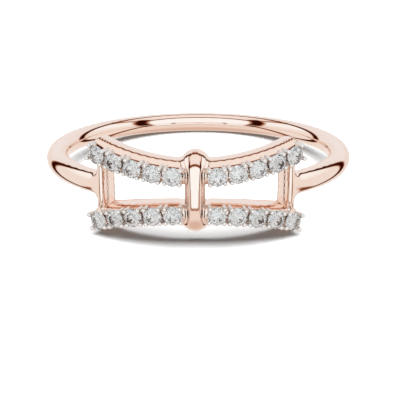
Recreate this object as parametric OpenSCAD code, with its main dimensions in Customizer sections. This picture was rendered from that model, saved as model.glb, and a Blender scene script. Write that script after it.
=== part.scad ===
// Diamond band: a round wire shank opens at the front into two bowed rails of
// brilliants, tied by an end bar each side and by an upright ridge in the middle.
// The ring lies on its side, propped by the ends of its lower rail and by the back of
// its wire. Millimetres. The floor is z = 0, the ring's front faces -y.

/* [Wire] */
// Inside diameter, which sets the finger size
finger_d = 17.35; // [15:0.05:20]
// Height of the wire along the finger
wire_h = 1.37; // [1.2:0.01:1.6]
// Thickness of the wire outwards from the finger
wire_t = 1.46; // [1.4:0.01:1.7]
// How much of the round wire is flattened off for the finger
wire_flat = 0.03; // [0.02:0.01:0.06]

/* [Rails] */
// Thickness of the end bars and of the ridge's foot outwards from the finger
wall_t = 1.25; // [1.1:0.01:1.35]
// Thickness of the rails under the stones
rail_t = 1.46; // [1.4:0.01:1.7]
// Height of a rail's rim above the middle plane, at the front
rim_z = 1.84; // [1.8:0.01:2]
// Radius of the rim's bow, seen from the front
rim_bow_r = 17; // [14:0.1:20]
// Bevel along the outer edge of the rim
rim_bevel = 0.2; // [0.1:0.01:0.25]
// Half the height of the windows beside the ridge
window_z = 0.58; // [0.5:0.01:0.62]
// Radius of the bow of the windows' long edges
window_bow_r = 20; // [18:0.1:40]

/* [Stones] */
// Girdle diameter of each stone
stone_d = 1.13; // [1:0.01:1.15]
// Stones in each of the four half rails
stone_count = 5; // [3:1:5]
// Angle round the finger from one stone to the next
stone_step = 6.63; // [6.5:0.01:6.8]
// Angle from the front of the ring to the start of a row
row_start = 3.67; // [3.5:0.01:4]
// Height of a row's centre line above the middle plane, at the front
row_z = 1.11; // [1.05:0.01:1.2]
// Radius of the centre line's bow
row_bow_r = 19; // [17:0.1:24]
// Angle of the bare metal past the last stone
row_margin = 1.1; // [1:0.1:2]
// How far the girdles stand out from the rails' face
girdle_lift = 0.29; // [0.2:0.01:0.35]
// Clearance between a stone and its metal
stone_gap = 0.02; // [0.01:0.005:0.04]

/* [Prongs] */
// Diameter of a prong's bead
prong_d = 0.26; // [0.2:0.01:0.28]
// Distance of a prong from its stone's centre, along the row
prong_along = 0.44; // [0.42:0.01:0.46]
// The same distance for the last two prongs of a row
prong_end_along = 0.6; // [0.44:0.01:0.66]
// Distance of a prong from its stone's centre, across the row
prong_across = 0.45; // [0.42:0.01:0.48]
// Height of the beads above the girdles
prong_rise = 0.15; // [0.12:0.01:0.2]

/* [End bars] */
// Angle round the finger from the front to the middle of an end bar
bar_angle = 34.5; // [34:0.1:36]
// Width of an end bar at its waist
bar_w = 0.4; // [0.35:0.01:0.6]
// Radius of the flare that takes a bar out to the rails' ends
flare_r = 1.46; // [1.2:0.01:1.7]
// Half the height of a bar's straight waist
waist_z = 0.69; // [0.6:0.01:0.8]
// Fillet between a bar and the windows' long edges
corner_r = 0.18; // [0.1:0.01:0.3]

/* [Ridge] */
// Half the width of the ridge where its hollow flanks run out on the rails
ridge_spread = 0.77; // [0.7:0.01:0.8]
// Half the width of the ridge in the window
ridge_half_w = 0.59; // [0.5:0.01:0.65]
// How far the ridge stands out from its foot
ridge_rise = 0.79; // [0.6:0.01:0.9]
// Radius of the ridge's rounded crest
ridge_crest_r = 0.4; // [0.3:0.01:0.5]
// How far the ridge reaches past the rails' rims
ridge_reach = 0.45; // [0.3:0.01:0.55]
// Radius of the rounded tips past the rims
ridge_tip_r = 0.42; // [0.3:0.01:0.5]
// Radius of the crest's bow, seen from the side
ridge_bow_r = 5.8; // [5:0.1:9]
// Rounding of the crest's ends, seen from the side
ridge_end_r = 0.4; // [0.2:0.01:0.5]

/* [Hidden] */
$fn = 96;
bead_fn = 24;
finger_r = finger_d / 2;
wall_r = finger_r + wall_t;
rail_r = finger_r + rail_t;
girdle_r = rail_r + girdle_lift;
overlap = 0.3;

// the wire's section is two circles side by side, the inner one cut by the finger
wire_r = wire_h / 2;
inner_wire_r = finger_r - wire_flat + wire_r;
outer_wire_r = finger_r + wire_t - wire_r;

row_end = row_start + stone_count * stone_step + row_margin;
rim_top = rim_z + ridge_reach;
tall = 8;
wide = 15;

// a round brilliant's proportions, as shares of its girdle's radius
table_share = 0.56;
star_share = 0.77;
crown_share = 0.3;
girdle_share = 0.05;
pavilion_share = 0.86;
lower_share = 0.24;
girdle_sides = 16;

// height of a bowed line above the middle plane at x
function bow(z, r, x) = z + r - sqrt(r * r - x * x);
function row_height(a) = bow(row_z, row_bow_r, girdle_r * sin(a));
function row_slope(a) = atan(tan(asin(girdle_r * sin(a) / row_bow_r)) * cos(a));

// height of the rim above the middle plane at an angle, under its bevel
rim_r = rail_r - rim_bevel;
function rim_height(a) = bow(rim_z, rim_bow_r, rim_r * sin(a));

// the lower rail's outermost corner, on which the ring rests
corner_back = (rim_height(row_end) - row_height(row_end)) * tan(row_slope(row_end));
corner_angle = row_end - corner_back / rim_r * 180 / PI;
corner_y = rim_r * cos(corner_angle);
corner_z = rim_height(corner_angle);

// the floor passes under that corner and touches the round wire at the back
rest_tilt = atan(corner_z / (outer_wire_r + corner_y))
    - asin(wire_r / norm([corner_z, outer_wire_r + corner_y]));
rest_lift = corner_z * cos(rest_tilt) - corner_y * sin(rest_tilt);
rest_shift = (ridge_rise + wall_t - wire_t) / 2;

SIDES = [["left", -1], ["right", 1]];
RAILS = [["upper", 1], ["lower", -1]];

function stone_name(rail, side, i) = str("stone_", rail[0], "_", side[0], "_", i);

// from the ring's own frame, with the finger along z, to the ring as it lies
module lying() {
    translate([0, rest_shift, rest_lift]) rotate([-rest_tilt, 0, 0]) children();
}

// onto the row's line at an angle: x along the row, y across it, z outwards
module on_row(a) {
    rotate([0, 0, a]) translate([0, -girdle_r, row_height(a)])
        rotate([0, -row_slope(a), 0]) rotate([90, 0, 0]) children();
}

// each half rail is the mirror image of the upper right one
module in_quarter(up, out) {
    mirror([0, 0, up < 0 ? 1 : 0]) mirror([out < 0 ? 1 : 0, 0, 0]) children();
}

module in_quarters() {
    for (rail = RAILS) for (side = SIDES) in_quarter(rail[1], side[1]) children();
}

// a hump with hollow flanks that run out at +-spread on the line y = 0
module hump(spread, rise, crest) {
    flank = (spread * spread + rise * rise - 2 * crest * rise) / (2 * rise);
    reach = crest / (crest + flank);
    middle = rise - crest;
    difference() {
        polygon([
            [-spread, -overlap], [spread, -overlap], [spread, 0],
            [spread * reach, middle + (flank - middle) * reach],
            [-spread * reach, middle + (flank - middle) * reach], [-spread, 0]
        ]);
        for (s = [-1, 1]) translate([s * spread, flank]) circle(flank);
    }
    translate([0, middle]) circle(crest);
}

module wire_section() {
    difference() {
        union() {
            translate([inner_wire_r, 0]) circle(wire_r);
            translate([outer_wire_r, 0]) circle(wire_r);
            translate([inner_wire_r, -wire_r]) square([outer_wire_r - inner_wire_r, wire_h]);
        }
        translate([0, -wire_r]) square([finger_r, wire_h]);
    }
}

// the wire runs round the back from bar to bar, and ends inside both
module shank() {
    inside_bar = bar_angle - 1;
    rotate([0, 0, inside_bar - 90])
        rotate_extrude(angle = 360 - 2 * inside_bar) wire_section();
}

module upper_rail_outline() {
    intersection() {
        difference() {
            translate([0, window_z + window_bow_r]) circle(window_bow_r);
            translate([0, rim_z + rim_bow_r]) circle(rim_bow_r);
        }
        translate([-wide / 2, 0]) square([wide, tall / 2]);
    }
}

// what lies past the end of a row, cut square to its line
module past_row_end() {
    on_row(row_end) translate([0, -tall / 2, -tall / 2]) cube(tall);
}

module both_rails_outline() {
    upper_rail_outline();
    mirror([0, 1, 0]) upper_rail_outline();
}

// the bevel follows the bowed rim in flats, the outermost centred on the rail's end
module rim_bevels() {
    flat = 1.1 * stone_step * PI / 180 * rail_r;
    for (i = [0 : stone_count]) {
        a = row_end - i * stone_step;
        reach = (rim_height(a) - row_height(a)) * cos(row_slope(a));
        on_row(a) translate([0, reach, -girdle_lift - rim_bevel]) rotate([45, 0, 0])
            translate([-flat / 2, 0, -tall / 2]) cube([flat, tall, tall]);
    }
}

// the metal under the stones stands out from the wall, clear of the ridge
module rails() {
    difference() {
        intersection() {
            rotate([90, 0, 0]) linear_extrude(rail_r + overlap) difference() {
                both_rails_outline();
                square([2 * rail_r * sin(row_start), tall], center = true);
            }
            cylinder(h = tall, r = rail_r, center = true);
        }
        in_quarters() rim_bevels();
    }
}

// upper half of an end bar, x along the finger's round and y up
module half_bar_outline() {
    top = bow(window_z, window_bow_r, wall_r * sin(bar_angle)) + overlap;
    foot = bow(window_z, window_bow_r, wall_r * sin(bar_angle) - bar_w);
    translate([-bar_w / 2, -overlap]) square([bar_w, top + overlap]);
    difference() {
        translate([0, waist_z]) square([flare_r, top - waist_z]);
        translate([bar_w / 2 + flare_r, waist_z]) circle(flare_r);
    }
    difference() {
        translate([-bar_w / 2 - corner_r, foot - corner_r]) square([bar_w / 2, corner_r + overlap]);
        translate([-bar_w / 2 - corner_r, foot - corner_r]) circle(corner_r);
    }
}

// the plain wall behind it all: both rails' outline and the end bars
module wall() {
    intersection() {
        union() {
            rotate([90, 0, 0]) linear_extrude(wall_r + overlap) both_rails_outline();
            in_quarters() rotate([0, 0, bar_angle]) rotate([90, 0, 0])
                linear_extrude(wall_r + overlap) half_bar_outline();
        }
        cylinder(h = tall, r = wall_r, center = true);
    }
}

module ridge_plan() {
    translate([0, -wall_r]) mirror([0, 1, 0]) hump(ridge_spread, ridge_rise, ridge_crest_r);
    translate([-ridge_spread, -wall_r]) square([2 * ridge_spread, wall_t + overlap]);
}

// seen from the front: a post in the window that spreads on the rails
module ridge_front() {
    translate([-ridge_half_w, -rim_z]) square([2 * ridge_half_w, 2 * rim_z]);
    for (s = [0, 1]) mirror([0, s, 0]) {
        translate([0, rim_z]) hump(ridge_spread, ridge_reach, ridge_tip_r);
        translate([-ridge_spread, window_z]) square([2 * ridge_spread, rim_z - window_z]);
    }
}

// seen from the side, x outwards and y up
module ridge_side() {
    front = wall_r + ridge_rise;
    end_x = front - ridge_bow_r + sqrt(pow(ridge_bow_r, 2) - pow(rim_top, 2)) - ridge_end_r;
    intersection() {
        translate([front - ridge_bow_r, 0]) circle(ridge_bow_r);
        union() {
            translate([0, -rim_top]) square([end_x, 2 * rim_top]);
            translate([0, -rim_top + ridge_end_r])
                square([front, 2 * (rim_top - ridge_end_r)]);
            for (s = [-1, 1]) translate([end_x, s * (rim_top - ridge_end_r)])
                circle(ridge_end_r);
        }
    }
}

module ridge() {
    intersection() {
        linear_extrude(tall, center = true) ridge_plan();
        rotate([90, 0, 0]) linear_extrude(wall_r + 2 * ridge_rise) ridge_front();
        rotate([0, 0, -90]) rotate([90, 0, 0]) linear_extrude(tall, center = true) ridge_side();
    }
}

// a round brilliant, or its outline grown by a gap, girdle at z = 0
module stone_profile(gap) {
    r = stone_d / 2 + gap;
    half_girdle = stone_d / 2 * girdle_share / 2;
    rotate_extrude($fn = 48) polygon([
        [0, -half_girdle - r * pavilion_share], [r, -half_girdle], [r, half_girdle],
        [r * table_share, half_girdle + r * crown_share], [0, half_girdle + r * crown_share]
    ]);
}

// the four beads that hold a stone, each on a round post
module prongs(outer_along) {
    post = girdle_lift + prong_rise + overlap - prong_d / 2;
    for (x = [-prong_along, outer_along], s = [-1, 1])
        translate([x, s * prong_across, -girdle_lift - overlap]) {
            cylinder(h = post, d = prong_d, $fn = bead_fn);
            translate([0, 0, post]) sphere(d = prong_d, $fn = bead_fn);
        }
}

module all_prongs() {
    in_quarters() for (i = [1 : stone_count])
        on_row(row_start + (i - 0.5) * stone_step)
            prongs(i == stone_count ? prong_end_along : prong_along);
}

module seats() {
    in_quarters() for (i = [1 : stone_count])
        on_row(row_start + (i - 0.5) * stone_step) stone_profile(stone_gap);
}

module band() {
    color("#e8b298") lying() difference() {
        union() {
            shank();
            difference() {
                union() {
                    wall();
                    rails();
                    ridge();
                }
                cylinder(h = tall, r = finger_r, center = true);
                in_quarters() past_row_end();
            }
            all_prongs();
        }
        seats();
    }
}

// corners of a ring of points: share of the girdle's radius, height, count, start angle
function ring(share, z, n, from) = [
    for (i = [0 : n - 1])
        [share * cos(from + i * 360 / n), share * sin(from + i * 360 / n), z]
];

// height on a main facet that falls from the inner share to the girdle
function on_main(share, inner, drop) = drop * (1 - share * cos(22.5)) / (1 - inner);

module brilliant() {
    n = 8;
    half = girdle_share / 2;
    points = concat(
        ring(table_share, half + crown_share, n, 0),
        ring(star_share, half + on_main(star_share, table_share, crown_share), n, 22.5),
        ring(1, half, girdle_sides, 0),
        ring(1, -half, girdle_sides, 0),
        ring(lower_share, -half - on_main(lower_share, 0, pavilion_share), n, 22.5),
        [[0, 0, -half - pavilion_share]]
    );
    star = n;
    top = star + n;
    base = top + girdle_sides;
    low = base + girdle_sides;
    culet = low + n;
    table = [[for (i = [0 : n - 1]) n - 1 - i]];
    facets = [for (i = [0 : n - 1]) let (
            next = (i + 1) % n, back = (i + n - 1) % n,
            g = 2 * i, g1 = g + 1, g2 = (g + 2) % girdle_sides
        ) each [
            [i, next, star + i],
            [i, star + i, top + g, star + back],
            [star + i, top + g1, top + g],
            [star + i, top + g2, top + g1],
            [top + g, top + g1, base + g1, base + g],
            [top + g1, top + g2, base + g2, base + g1],
            [base + g, base + g1, low + i],
            [base + g1, base + g2, low + i],
            [base + g, low + i, culet, low + back]
        ]];
    scale(stone_d / 2) polyhedron(points, concat(table, facets));
}

module stone(rail, side, i) {
    color("#e9edf0") lying() in_quarter(rail[1], side[1])
        on_row(row_start + (i - 0.5) * stone_step) brilliant();
}

band();
for (rail = RAILS) for (side = SIDES) for (i = [1 : stone_count])
    stone(rail, side, i);
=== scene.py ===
import math

import bmesh
import bpy
from mathutils import Matrix, Vector


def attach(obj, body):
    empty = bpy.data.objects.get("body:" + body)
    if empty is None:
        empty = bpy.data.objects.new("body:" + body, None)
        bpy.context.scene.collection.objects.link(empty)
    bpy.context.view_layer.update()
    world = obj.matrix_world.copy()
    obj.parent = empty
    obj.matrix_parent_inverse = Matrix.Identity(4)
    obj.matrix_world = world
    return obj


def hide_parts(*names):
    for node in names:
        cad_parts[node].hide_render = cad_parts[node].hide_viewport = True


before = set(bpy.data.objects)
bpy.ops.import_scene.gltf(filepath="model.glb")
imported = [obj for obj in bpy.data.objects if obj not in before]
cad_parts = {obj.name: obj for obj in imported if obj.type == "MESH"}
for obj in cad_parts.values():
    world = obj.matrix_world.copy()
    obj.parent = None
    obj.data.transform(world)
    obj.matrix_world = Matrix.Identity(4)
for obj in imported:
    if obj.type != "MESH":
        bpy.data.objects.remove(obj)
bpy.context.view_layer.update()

mm = 0.001
scene = bpy.context.scene
scene.view_settings.view_transform = "Standard"

# the ring's own frame has the finger along z; this lays it down as the CAD does
pose = {"tilt": 7.2635, "shift": 0.29, "lift": 1.87979}
lying = (Matrix.Diagonal((mm, mm, mm, 1))
         @ Matrix.Translation((0, pose["shift"], pose["lift"]))
         @ Matrix.Rotation(math.radians(-pose["tilt"]), 4, "X"))


def toLinear(hexColour):
    parts = [int(hexColour[i:i + 2], 16) / 255 for i in (1, 3, 5)]
    return [p / 12.92 if p <= 0.04045 else ((p + 0.055) / 1.055) ** 2.4 for p in parts] + [1]


def addNode(tree, kind, inputs=None, **settings):
    node = tree.nodes.new(kind)
    for name, value in settings.items():
        setattr(node, name, value)
    for socket, value in (inputs or {}).items():
        if isinstance(value, bpy.types.NodeSocket):
            tree.links.new(value, node.inputs[socket])
        else:
            node.inputs[socket].default_value = value
    return node


def finishPiece(bm, name, material):
    bmesh.ops.transform(bm, matrix=lying, verts=bm.verts)
    mesh = bpy.data.meshes.new(name)
    bm.to_mesh(mesh)
    bm.free()
    mesh.polygons.foreach_set("use_smooth", [True] * len(mesh.polygons))
    piece = bpy.data.objects.new(name, mesh)
    scene.collection.objects.link(piece)
    piece.data.materials.append(material)
    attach(piece, "root")
    return piece


# the camera, at the photograph's angle
camera = {"lens": 80, "sensor": 36, "distance": 60.24, "elevation": 14.35, "yaw": 0.102,
          "roll": 0.098, "pitch": -3.114, "turn": 1.12, "nearest": 0.002}
away = math.radians(camera["elevation"])
eye = Vector((0, -math.cos(away), math.sin(away))) * camera["distance"]
forward = -eye.normalized()
right = forward.cross(Vector((0, 0, 1))).normalized()
aim = (Matrix.Rotation(math.radians(camera["turn"]), 4, "Z")
       @ Matrix.Translation(eye)
       @ Matrix((right, right.cross(forward), -forward)).transposed().to_4x4()
       @ Matrix.Rotation(math.radians(camera["pitch"]), 4, "X")
       @ Matrix.Rotation(math.radians(-camera["yaw"]), 4, "Y")
       @ Matrix.Rotation(math.radians(-camera["roll"]), 4, "Z"))
cameraData = bpy.data.cameras.new("camera")
cameraData.lens = camera["lens"]
cameraData.sensor_width = camera["sensor"]
cameraData.clip_start = camera["nearest"]
cameraObject = bpy.data.objects.new("camera", cameraData)
scene.collection.objects.link(cameraObject)
stand = (Matrix.Translation((0, pose["shift"], pose["lift"]))
         @ Matrix.Rotation(math.radians(-pose["tilt"]), 4, "X") @ aim)
stand.translation *= mm
cameraObject.matrix_world = stand
scene.camera = cameraObject
print("camera", [round(c, 4) for c in stand.translation])


# each finish has two tones and a haze; real polishing haze is a few hundredths of a
# millimetre, and is drawn coarser here so that it shows
roseGold = {"colour": "#f9e2d5", "secondTone": "#f7dccd", "hazeMm": 0.6, "detail": 3,
            "roughness": (0.015, 0.075)}
plating = {"colour": "#f3ebe5", "secondTone": "#fffaf6", "hazeMm": 0.12, "detail": 2,
           "roughness": (0.3, 0.6)}
brilliant = {"colour": "#fbfaf8", "secondTone": "#ffffff", "hazeMm": 0.2, "detail": 2,
             "roughness": (0.0, 0.02), "clear": 0.98, "ior": 2.417, "glare": "#f2dfd4"}


def hazedMaterial(name, finish):
    material = bpy.data.materials.new(name)
    material.use_nodes = True
    tree = material.node_tree
    shader = tree.nodes["Principled BSDF"]
    place = addNode(tree, "ShaderNodeTexCoord").outputs["Object"]
    haze = addNode(tree, "ShaderNodeTexNoise", {
        "Vector": place, "Scale": 1 / (finish["hazeMm"] * mm), "Detail": finish["detail"]})
    smoothest, roughest = finish["roughness"]
    soft = addNode(tree, "ShaderNodeMapRange", {
        "Value": haze.outputs["Fac"], "To Min": smoothest, "To Max": roughest})
    tree.links.new(soft.outputs["Result"], shader.inputs["Roughness"])
    tone = addNode(tree, "ShaderNodeMix", {
        0: haze.outputs["Fac"], 6: toLinear(finish["colour"]),
        7: toLinear(finish["secondTone"])}, data_type="RGBA")
    tree.links.new(tone.outputs[2], shader.inputs["Base Color"])
    return material, shader


def polishedRoseGold():
    # 14 karat rose gold, cast and mirror polished: a pale copper tint and clean reflections
    material, shader = hazedMaterial("polishedRoseGold", roseGold)
    shader.inputs["Metallic"].default_value = 1
    return material


def rhodiumPlate():
    # rhodium plated over the claws and seats: white, and softer than the gold's mirror
    material, shader = hazedMaterial("rhodiumPlate", plating)
    shader.inputs["Metallic"].default_value = 1
    return material


def cutDiamond():
    # colourless diamond, cut as a round brilliant: clear, with bright and dark facets
    material, shader = hazedMaterial("cutDiamond", brilliant)
    shader.inputs["Transmission Weight"].default_value = brilliant["clear"]
    shader.inputs["IOR"].default_value = brilliant["ior"]
    shader.inputs["Specular Tint"].default_value = toLinear(brilliant["glare"])
    return material


gold = polishedRoseGold()
rhodium = rhodiumPlate()
diamond = cutDiamond()

# the cast band is one cage of quads, wrapped round the finger and subdivided
band = {
    "insideR": 8.675, "thick": 1.46, "wireHalfHigh": 0.685,
    "rimIn": (1.875, 15.9), "rimOut": (1.84, 17.4), "windowEdge": (0.585, 20),
    "barAngle": 34.8,
    "ridgeFoot": 1.28, "ridgeEdges": (0.19, 0.25), "ridgeSpread": 1.0,
    "tipRise": 0.58, "tipR": 0.75,
    "capWider": {7: 0.18, 6: -0.07, 5: -0.02}, "capShoulder": 0.4,
    "wireCore": 0.6, "smooth": 2, "sharpAngle": 38,
}
# the ridge's half section: distance from its middle, height above its foot
ridgeSection = [(0, 0.79), (0.13, 0.785), (0.27, 0.75), (0.39, 0.64), (0.43, 0.40),
                (0.44, 0.21), (0.475, 0.13), (0.55, 0.12), (0.60, 0.03)]
# side profiles of the skin: depth from the finger, then height
crestTop = [(0, 2.44), (0.15, 2.46), (0.45, 2.51), (0.9, 2.34), (1.45, 2.03)]
crestFront = {4: (2.08, 0.585), 5: (2.05, 0.97), 6: (1.92, 1.48)}
# the rails' heights are a share of the way from window edge to rim, and a lift
railTop = [(0, 0.02), (0.19, 0.05), (0.45, 0.07), (0.83, 0.05), (1.28, -0.17)]
railWindow = [(0, -0.04), (0.19, -0.07), (0.55, -0.11), (0.95, -0.08), (1.31, 0.065)]
railDepths = [0, 0.19, 0.73, 1.15, 1.6]
railShares = {5: (0.15, 0.22), 6: (0.72, 0.55)}
valley = [(0.65, 0.02), (0.70, 0)]  # the hollow between the ridge and the stones
# an end bar: depths from the finger, and distances along the tangent on its two sides
bar = {"depth": [0, 0.25, 0.75, 0.95, 1.43], "window": [-0.13, -0.26, -0.2, -0.32, -0.31],
       "middle": -0.02, "shank": [0.12, 0.2, 0.2, 0.2, 0.14], "high": [0, 0.42, 0.84, 1.1],
       "rootDepth": 1.36}
# a rail's end: angles at the window's edge and at the rim, and how far each row goes up
railEnd = {"low": [33.39, 34.66, 36.1, 37.4, 38.6], "high": [32.6, 33.7, 34.8, 35.9, 36.9],
           "share": {4: 0, 5: 0.15, 6: 0.6, 7: 1},
           "lift": {4: [0, 0, 0, 0.12, 0.14], 5: [0, 0, 0, 0.06, 0.07]}}
railAngles = [5.6 + 3 * n for n in range(9)] + [31.8]
firstRail = len(ridgeSection) + len(valley)
barColumn = firstRail + len(railAngles)
endColumn = barColumn + 4
wireColumns = 31
lastColumn = endColumn + wireColumns
rowCount, layerCount = 7, 4
wireAngles = [37.6] + [39.9 + (180 - 39.9) * n / wireColumns for n in range(wireColumns + 1)]


def bowed(line, x):
    return line[0] + line[1] - math.sqrt(line[1] ** 2 - x * x)


def tipHeight(x):
    # an arc over the tip, which runs into a hollow arc beside it
    crest, rise, spread = band["tipR"], band["tipRise"], band["ridgeSpread"]
    flank = (spread ** 2 + rise ** 2 - 2 * crest * rise) / (2 * rise)
    turn = spread * crest / (crest + flank)
    if x < turn:
        return rise - crest + math.sqrt(crest ** 2 - x * x)
    return flank - math.sqrt(max(0, flank ** 2 - (spread - x) ** 2)) if x < spread else 0


def railDepth(row, layer):
    return {7: railTop, 4: railWindow}[row][layer][0] if row in (4, 7) else railDepths[layer]


def railHeight(row, layer, x):
    inFront = railDepth(row, layer) / band["thick"]
    rim = (1 - inFront) * bowed(band["rimIn"], x) + inFront * bowed(band["rimOut"], x)
    window = bowed(band["windowEdge"], x)
    if row == 7:
        return rim + railTop[layer][1]
    if row == 4:
        return window + railWindow[layer][1]
    back, front = railShares[row]
    return window + (back + (front - back) * layer / layerCount) * (rim - window)


def fromAngle(angle, across, high, depth):
    # across is a distance along the tangent at the angle
    a = math.radians(angle)
    r = band["insideR"] + depth
    return Vector((r * math.sin(a) + across * math.cos(a),
                   -r * math.cos(a) + across * math.sin(a), high))


def fromX(x, high, depth):
    r = band["insideR"] + depth
    return Vector((x, -math.sqrt(r * r - x * x), high))


def ridgePoint(column, row, layer):
    # the cap is wider than the crest
    x, rise = (ridgeSection + valley)[column]
    out = rise / ridgeSection[0][1]
    x += band["capWider"].get(row, 0) * min(x / band["capShoulder"], 1)
    up = tipHeight(x) / tipHeight(0)
    if row <= 4:
        front = band["ridgeFoot"] + rise
        backEdge, frontEdge = band["ridgeEdges"]
        depth = [0, backEdge, 0.5 * front, front - frontEdge, front][layer]
        return fromX(x, bowed(band["windowEdge"], x) * row / 4, depth)
    depth, high = railDepth(row, layer), railHeight(row, layer, x)
    if row == 7:
        crestDepth, crestHigh = crestTop[layer]
        out = up
    elif layer == 0:
        crestDepth, crestHigh = 0, high + (row - 5) * tipHeight(0)
    else:
        crestDepth = crestFront[row][0] * layer / layerCount
        crestHigh = crestFront[row][1]
    return fromX(x, high + (crestHigh - high) * up, depth + (crestDepth - depth) * out)


def wirePoint(angle, row, layer):
    # the square of the cage is drawn out to a round section
    a, b = row / 2, (layer - 2) / 2
    turn = math.radians(45)
    if abs(b) == 1:
        z, w = math.sin(a * turn), b * math.cos(a * turn)
    elif abs(a) == 1:
        z, w = a * math.cos(b * turn), math.sin(b * turn)
    else:
        z, w = band["wireCore"] * a, band["wireCore"] * b
    grow = 6 / (4 + 2 * math.cos(math.radians(22.5)))  # the subdivision draws the ring in
    half = band["thick"] / 2
    return fromAngle(angle, 0, z * band["wireHalfHigh"] * grow, half + w * half * grow)


def barPoint(step, row, layer):
    # a shallow groove runs down the side that faces the window
    if row >= len(bar["high"]):
        return endPoint(step, row, layer)
    depth = bar["depth"][layer]
    across = [bar["window"][layer], bar["middle"], bar["shank"][layer]][step]
    if step == 2 and row == 2:  # beside the root of the shank
        depth = min(depth, bar["rootDepth"])
    return fromAngle(band["barAngle"], across, bar["high"][row], depth)


def endPoint(step, row, layer):
    low, high = railEnd["low"][step], railEnd["high"][step]
    angle = low + (high - low) * railEnd["share"][row]
    depth = railDepth(row, layer)
    x = (band["insideR"] + depth) * math.sin(math.radians(angle))
    z = railHeight(row, layer, x)
    if row in railEnd["lift"]:
        z += railEnd["lift"][row][step]
    return fromAngle(angle, 0, z, depth)


def cagePoint(column, row, layer):
    c, r = abs(column), abs(row)
    if c < firstRail:
        p = ridgePoint(c, r, layer)
    elif c < barColumn:
        angle = railAngles[c - firstRail]
        depth = railDepth(r, layer)
        x = (band["insideR"] + depth) * math.sin(math.radians(angle))
        p = fromAngle(angle, 0, railHeight(r, layer, x) if r >= 4 else 0, depth)
    elif c < barColumn + 3:
        p = barPoint(c - barColumn, r, layer)
    elif r <= 2:
        p = wirePoint(wireAngles[c - barColumn - 3], r, layer)
    else:
        p = endPoint(min(c - barColumn, 4), max(r, 4), layer)
    return Vector((p.x if column >= 0 else -p.x, p.y, p.z if row >= 0 else -p.z))


def makeBand():
    bm = bmesh.new()
    bmesh.ops.create_grid(bm, x_segments=2 * lastColumn, y_segments=2 * rowCount, size=1)
    for v in bm.verts:
        v.co = Vector((round(v.co.x * lastColumn), round(v.co.y * rowCount), 0))

    def isMetal(face):
        c, r = (abs(face.calc_center_median()[i]) for i in (0, 1))
        return ((r > 4 and c < endColumn) or (r < 4 and c < len(ridgeSection) - 1)
                or (r < 4 and barColumn < c < barColumn + 2) or (r < 2 and c > barColumn + 2))

    bmesh.ops.delete(bm, geom=[f for f in bm.faces if not isMetal(f)], context="FACES")
    faces = bm.faces[:]
    for _ in range(layerCount):
        grown = bmesh.ops.extrude_face_region(bm, geom=faces)["geom"]
        faces = [g for g in grown if isinstance(g, bmesh.types.BMFace)]
        bmesh.ops.translate(bm, vec=(0, 0, 1),
                            verts=[g for g in grown if isinstance(g, bmesh.types.BMVert)])
    ends = [f for f in bm.faces if all(abs(v.co.x) > lastColumn - 0.5 for v in f.verts)]
    # the extrusions leave a wall at each layer inside the metal
    walls = [f for f in bm.faces if abs(f.normal.z) > 0.5
             and 0.5 < f.verts[0].co.z < layerCount - 0.5]
    bmesh.ops.delete(bm, geom=ends + walls, context="FACES_ONLY")
    for v in bm.verts:
        v.co = cagePoint(*(round(c) for c in v.co))
    bmesh.ops.remove_doubles(bm, verts=bm.verts, dist=1e-4)
    bmesh.ops.recalc_face_normals(bm, faces=bm.faces)
    print("band cage", len(bm.faces), "open edges", sum(e.is_boundary for e in bm.edges))
    piece = finishPiece(bm, "castBand", gold)
    surface = piece.modifiers.new("smooth", "SUBSURF")
    surface.levels = surface.render_levels = band["smooth"]
    return piece


stoneRow = {"count": 5, "start": 3.67, "step": 6.63, "z": 1.11, "bowR": 19,
            "girdleR": 10.425, "stoneD": 1.13, "lift": 0.29}
# a seat: cone and mouth as shares of its radius, the rest in mm
seat = {"gap": 0.012, "deep": 0.88, "land": 0.02, "mouthR": 0.56, "mouthHigh": 0.32,
        "sides": 32, "platedBelow": -0.1}
quarters = [Matrix.Diagonal((side, 1, up, 1)) for up in (1, -1) for side in (-1, 1)]


def onRow(angle):
    x = stoneRow["girdleR"] * math.sin(math.radians(angle))
    high = stoneRow["z"] + stoneRow["bowR"] - math.sqrt(stoneRow["bowR"] ** 2 - x * x)
    slope = math.atan(math.tan(math.asin(x / stoneRow["bowR"])) * math.cos(math.radians(angle)))
    return (Matrix.Rotation(math.radians(angle), 4, "Z")
            @ Matrix.Translation((0, -stoneRow["girdleR"], high))
            @ Matrix.Rotation(-slope, 4, "Y") @ Matrix.Rotation(math.radians(90), 4, "X"))


def stoneSpots():
    return [(quarter @ onRow(stoneRow["start"] + (i + 0.5) * stoneRow["step"]), i)
            for quarter in quarters for i in range(stoneRow["count"])]


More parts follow.
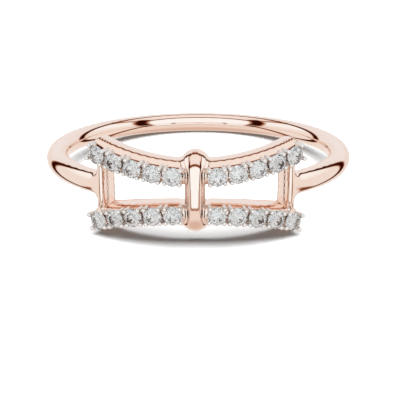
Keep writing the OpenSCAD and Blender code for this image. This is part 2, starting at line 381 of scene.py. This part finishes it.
def cutSeats(piece):
    # a cone under each stone, bright cut and plated white, in a gold rim
    bm = bmesh.new()
    r = stoneRow["stoneD"] / 2 + seat["gap"]
    top = seat["mouthHigh"] * r
    outline = [(0, -seat["deep"] * r), (r, -seat["land"]), (r, seat["land"]),
               (seat["mouthR"] * r, top), (0, top)]
    for spot, i in stoneSpots():
        rim = [bm.verts.new((x, 0, z)) for x, z in outline]
        edges = [bm.edges.new(pair) for pair in zip(rim, rim[1:])]
        bmesh.ops.spin(bm, geom=rim + edges, cent=(0, 0, 0), axis=(0, 0, 1),
                       angle=math.tau, steps=seat["sides"], use_merge=True)
        bmesh.ops.transform(bm, matrix=spot, verts=[v for v in bm.verts if not v.tag])
        for v in bm.verts:
            v.tag = True
        for f in bm.faces:
            if not f.tag:
                high = (spot.inverted() @ f.calc_center_median()).z
                f.tag, f.material_index = True, int(high < seat["platedBelow"])
    bmesh.ops.remove_doubles(bm, verts=bm.verts, dist=1e-4)
    bmesh.ops.recalc_face_normals(bm, faces=bm.faces)
    bmesh.ops.transform(bm, matrix=lying, verts=bm.verts)
    mesh = bpy.data.meshes.new("seatCutter")
    bm.to_mesh(mesh)
    bm.free()
    mesh.materials.append(gold)
    mesh.materials.append(rhodium)
    cutter = bpy.data.objects.new("seatCutter", mesh)
    scene.collection.objects.link(cutter)
    cut = piece.modifiers.new("seats", "BOOLEAN")
    cut.operation, cut.solver, cut.object = "DIFFERENCE", "EXACT", cutter
    cut.material_mode = "TRANSFER"
    solid = bpy.data.meshes.new_from_object(piece.evaluated_get(
        bpy.context.evaluated_depsgraph_get()))
    piece.modifiers.clear()
    piece.data = solid
    bpy.data.objects.remove(cutter)
    solid.polygons.foreach_set("use_smooth", [True] * len(solid.polygons))
    solid.set_sharp_from_angle(angle=math.radians(band["sharpAngle"]))
    print("seats cut", len(solid.polygons), "faces")


castBand = makeBand()
cutSeats(castBand)
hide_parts("band")

# the claws: a rounded post at each corner of each stone
claw = {"d": 0.28, "along": 0.43, "endAlong": 0.56, "across": 0.415, "rise": 0.19,
        "root": 0.25, "sides": 16, "rings": 10}


def makeClaws():
    bm = bmesh.new()
    post = claw["rise"] - claw["d"] / 2
    for spot, i in stoneSpots():
        outer = claw["endAlong"] if i == stoneRow["count"] - 1 else claw["along"]
        for along in (-claw["along"], outer):
            for side in (-1, 1):
                made = bmesh.ops.create_uvsphere(
                    bm, u_segments=claw["sides"], v_segments=claw["rings"],
                    radius=claw["d"] / 2)["verts"]
                for v in made:
                    v.co.z += post if v.co.z > -1e-5 else -stoneRow["lift"] - claw["root"]
                bmesh.ops.transform(bm, verts=made, matrix=spot @ Matrix.Translation(
                    (along, side * claw["across"], 0)))
    bmesh.ops.recalc_face_normals(bm, faces=bm.faces)
    return finishPiece(bm, "claws", rhodium)


claws = makeClaws()
print("claws done")

# the stones are the CAD's own
for name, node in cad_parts.items():
    if name.startswith("stone_"):
        node.data.materials.clear()
        node.data.materials.append(diamond)

# the studio: a pale floor, a long softbox overhead, a tent of bright cards
studio = {"floor": "#bbbbbb", "floorR": 0.12, "floorSides": 64, "fill": (0.105, 0.176, 0.215),
          "boxX": 0.64, "boxY": 0.364, "boxAt": (0, -0.036, 0.3), "boxPower": 6.6}


def makeFloor():
    bm = bmesh.new()
    bmesh.ops.create_circle(bm, cap_ends=True, segments=studio["floorSides"],
                            radius=studio["floorR"])
    mesh = bpy.data.meshes.new("floor")
    bm.to_mesh(mesh)
    bm.free()
    floor = bpy.data.objects.new("floor", mesh)
    scene.collection.objects.link(floor)
    material = bpy.data.materials.new("matteFloor")
    material.use_nodes = True
    shader = material.node_tree.nodes["Principled BSDF"]
    shader.inputs["Base Color"].default_value = toLinear(studio["floor"])
    shader.inputs["Roughness"].default_value = 1
    shader.inputs["Specular IOR Level"].default_value = 0
    floor.data.materials.append(material)
    floor.visible_glossy = floor.visible_transmission = False


makeFloor()

softbox = bpy.data.lights.new("softbox", "AREA")
softbox.shape = "RECTANGLE"
softbox.size, softbox.size_y = studio["boxX"], studio["boxY"]
softbox.energy = studio["boxPower"]
softboxObject = bpy.data.objects.new("softbox", softbox)
scene.collection.objects.link(softboxObject)
softboxObject.location = studio["boxAt"]
softboxObject.visible_glossy = softboxObject.visible_transmission = False

# what the gold shows of each card, and of the dark gaps between the cards
cards = {"front": "#fef7f1", "side": "#f1dccf", "zenith": "#f5e2d6", "back": "#efddd4",
         "low": "#eed4c5", "nadir": "#d9b29d"}
gapTone = (1.0, 1.75, 2.25)  # the gaps darken green and blue more than red
# the gaps' planes through the ring, mirrored left and right; the first four bound the side
# card: normal, half width, softness, darkness
gaps = {
    "frontEdge": ((-0.601, -0.713, 0.358), 0.055, 0.11, 0.97),
    "topEdge": ((-0.827, -0.062, 0.558), 0.015, 0.08, 0.6),
    "backEdge": ((-0.669, 0.719, -0.189), 0.04, 0.09, 0.97),
    "lowEdge": ((-0.507, -0.57, -0.647), 0.025, 0.09, 0.75),
    "frontLow": ((-0.0482, 0.262, -0.9639), 0.012, 0.045, 0.6),
}
# the overhead card is an ellipse, with a dark rim of its own
zenith = {"y": 0.2, "halfX": 3.0, "halfY": 0.374, "half": 0.08, "soft": 0.25, "dark": 0.8}
seam = 0.02  # half of the soft join between two cards
# where one card turns into the next: from, to, and the shares there if not 0 and 1
blends = {"horizon": (0.0, 0.12), "aboveHead": (0.3, 0.4), "ellipse": (1.05, 0.95),
          "sideToFront": (0.2, 0.6, 0, 0.8), "underside": (-0.62, -0.72),
          "nadir": (-0.7, -1.0), "lineStart": (-0.04, 0.0), "rimStart": (-0.02, 0.05)}

# what the stones gather from the room: many small bright and dark patches
sparkle = {"scale": 150, "detail": 2, "rough": 0.7,
           "stops": [(0.35, "#2c2b2b"), (0.42, "#bab8b7"), (0.48, "#f7f5f4"), (0.6, "#ffffff")]}


def makeWorld():
    world = bpy.data.worlds.new("studio")
    scene.world = world
    world.use_nodes = True
    tree = world.node_tree
    tree.nodes.clear()
    towards = addNode(tree, "ShaderNodeTexCoord").outputs["Generated"]
    split = addNode(tree, "ShaderNodeSeparateXYZ", {0: towards})
    y, z = split.outputs["Y"], split.outputs["Z"]

    def combine(kind, a, b=0.0):
        return addNode(tree, "ShaderNodeMath", {0: a, 1: b}, operation=kind).outputs[0]

    def ramp(value, low, high, toLow=0, toHigh=1):
        return addNode(tree, "ShaderNodeMapRange", {
            "Value": value, "From Min": low, "From Max": high, "To Min": toLow,
            "To Max": toHigh}, interpolation_type="SMOOTHSTEP").outputs["Result"]

    def mix(share, a, b):
        return addNode(tree, "ShaderNodeMix", {0: share, 6: a, 7: b},
                       data_type="RGBA").outputs[2]

    def card(name):
        shown, metal = toLinear(cards[name]), toLinear(roseGold["colour"])
        return [s / m for s, m in zip(shown, metal)]

    across = combine("ABSOLUTE", split.outputs["X"])
    folded = addNode(tree, "ShaderNodeCombineXYZ", {0: across, 1: y, 2: z}).outputs[0]
    past = {name: addNode(tree, "ShaderNodeVectorMath", {0: folded, 1: gap[0]},
                          operation="DOT_PRODUCT").outputs["Value"]
            for name, gap in gaps.items()}
    edges = ["frontEdge", "topEdge", "backEdge", "lowEdge"]

    def outside(names):
        far = past[names[0]]
        for name in names[1:]:
            far = combine("MAXIMUM", far, past[name])
        return far

    colour = mix(ramp(past["frontLow"], -seam, seam), card("front"), card("low"))
    behind = ramp(past["backEdge"], -seam, seam)
    colour = mix(combine("MULTIPLY", behind, ramp(z, *blends["horizon"])),
                 colour, card("back"))
    overhead = addNode(tree, "ShaderNodeVectorMath", {
        0: addNode(tree, "ShaderNodeCombineXYZ", {
            0: combine("DIVIDE", across, zenith["halfX"]),
            1: combine("DIVIDE", combine("SUBTRACT", y, zenith["y"]), zenith["halfY"])
        }).outputs[0]}, operation="LENGTH").outputs["Value"]
    above = ramp(z, *blends["aboveHead"])
    colour = mix(combine("MULTIPLY", ramp(overhead, *blends["ellipse"]), above),
                 colour, card("zenith"))
    side = mix(ramp(z, *blends["sideToFront"]), card("side"), card("front"))
    colour = mix(ramp(outside(edges), seam, -seam), colour, side)
    under = combine("MULTIPLY", ramp(past["lowEdge"], -seam, seam),
                    ramp(past["frontEdge"], seam, -seam))
    under = combine("MAXIMUM", under, ramp(z, *blends["underside"]))
    colour = mix(under, colour, card("low"))
    colour = mix(ramp(z, *blends["nadir"]), colour, card("nadir"))

    def gapLine(name, others):
        _, half, soft, dark = gaps[name]
        line = ramp(combine("ABSOLUTE", past[name]), half, half + soft, dark, 0)
        return combine("MULTIPLY", line, ramp(outside(others), half + soft, half))

    lines = [gapLine(name, [other for other in edges if other != name]) for name in edges]
    lines.append(combine("MULTIPLY", gapLine("frontLow", ["frontLow"]),
                         ramp(past["frontEdge"], *blends["lineStart"])))
    rim = ramp(combine("ABSOLUTE", combine("SUBTRACT", overhead, 1.0)), zenith["half"],
               zenith["half"] + zenith["soft"], zenith["dark"], 0)
    rim = combine("MULTIPLY", rim, ramp(outside(edges), *blends["rimStart"]))
    lines.append(combine("MULTIPLY", rim, above))
    dark = lines[0]
    for line in lines[1:]:
        dark = combine("MAXIMUM", dark, line)
    left = combine("SUBTRACT", 1.0, dark)
    shade = addNode(tree, "ShaderNodeCombineXYZ", {
        axis: combine("POWER", left, power) for axis, power in enumerate(gapTone)}).outputs[0]
    colour = addNode(tree, "ShaderNodeVectorMath", {0: colour, 1: shade},
                     operation="MULTIPLY").outputs["Vector"]
    # the camera sees white, the floor an even fill, the gold the cards, the stones the sparkle
    path = addNode(tree, "ShaderNodeLightPath")
    fill = mix(path.outputs["Is Diffuse Ray"], (1, 1, 1, 1), [*studio["fill"], 1])
    seen = mix(path.outputs["Is Glossy Ray"], fill, colour)
    glints = addNode(tree, "ShaderNodeTexNoise", {
        "Vector": towards, "Scale": sparkle["scale"], "Detail": sparkle["detail"],
        "Roughness": sparkle["rough"]})
    level = addNode(tree, "ShaderNodeValToRGB", {"Fac": glints.outputs["Fac"]})
    while len(level.color_ramp.elements) < len(sparkle["stops"]):
        level.color_ramp.elements.new(0.5)
    for element, (position, tone) in zip(level.color_ramp.elements, sparkle["stops"]):
        element.position = position
        element.color = toLinear(tone)
    seen = mix(path.outputs["Is Transmission Ray"], seen, level.outputs["Color"])
    background = addNode(tree, "ShaderNodeBackground", {"Color": seen, "Strength": 1.0})
    addNode(tree, "ShaderNodeOutputWorld", {"Surface": background.outputs[0]})


makeWorld()
print("studio done")
